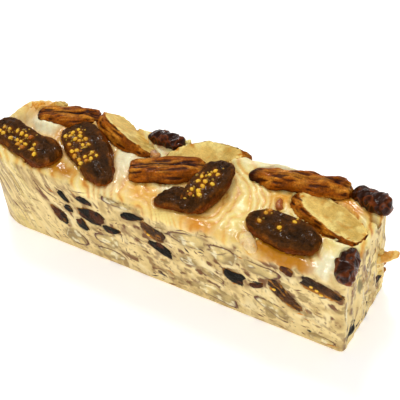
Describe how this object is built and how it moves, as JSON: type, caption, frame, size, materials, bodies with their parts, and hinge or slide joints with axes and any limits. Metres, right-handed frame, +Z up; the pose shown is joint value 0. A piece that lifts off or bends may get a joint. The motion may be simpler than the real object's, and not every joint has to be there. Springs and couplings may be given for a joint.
{
  "type": "fig and pecan nougat bar",
  "caption": "Soft cream nougat bar with a rounded end and a cut end, halved figs, pecans and raisins pressed into its top, and fruit and nut cut flush in its sides.",
  "frame": {"origin": "the middle of the flat base, under the straight part of the bar", "axes": "+X along the bar towards its cut right end, -Y out of the cut front face, +Z up"},
  "size_m": [0.1354, 0.0346, 0.0376],
  "materials": {
    "nougat": "satin",
    "fig": "satin",
    "pecan": "satin",
    "pecan_cut": "matte",
    "raisin": "gloss",
    "dark_fruit": "gloss"
  },
  "bodies": {
    "root": {"chip_brown": "pecan", "chip_cream": "pecan", "chip_pink": "pecan", "dark_fruit_back_1": "dark_fruit", "dark_fruit_back_4": "dark_fruit", "dark_fruit_back_6": "dark_fruit", "fig_back_3": "fig", "fig_folded": "fig", "fig_kite": "fig", "fig_left": "fig", "fig_lens": "fig", "fig_piece_front_1": "fig", "fig_piece_front_2": "fig", "fig_piece_front_3": "fig", "fruit_end_1": "dark_fruit", "fruit_end_2": "dark_fruit", "fruit_front_1": "dark_fruit", "fruit_front_10": "dark_fruit", "fruit_front_11": "dark_fruit", "fruit_front_2": "dark_fruit", "fruit_front_3": "dark_fruit", "fruit_front_4": "dark_fruit", "fruit_front_5": "dark_fruit", "fruit_front_6": "dark_fruit", "fruit_front_7": "dark_fruit", "fruit_front_8": "dark_fruit", "fruit_front_9": "dark_fruit", "nougat": "nougat", "pecan_back_right": "pecan", "pecan_cut_back_2": "pecan_cut", "pecan_cut_back_5": "pecan_cut", "pecan_end_1": "pecan_cut", "pecan_front_1": "pecan_cut", "pecan_front_10": "pecan_cut", "pecan_front_11": "pecan_cut", "pecan_front_2": "pecan_cut", "pecan_front_3": "pecan_cut", "pecan_front_4": "pecan_cut", "pecan_front_5": "pecan_cut", "pecan_front_6": "pecan_cut", "pecan_front_7": "pecan_cut", "pecan_front_8": "pecan_cut", "pecan_front_9": "pecan_cut", "pecan_left": "pecan", "pecan_middle": "pecan", "pecan_shard_end": "pecan", "pecan_slice_left": "pecan", "pecan_slice_right": "pecan", "pecan_wedge_back": "pecan", "raisin_back": "raisin", "raisin_back_right": "raisin", "raisin_corner": "raisin", "raisin_piece_front": "dark_fruit", "skin_piece_front": "pecan_cut"}
  },
  "joints": []
}
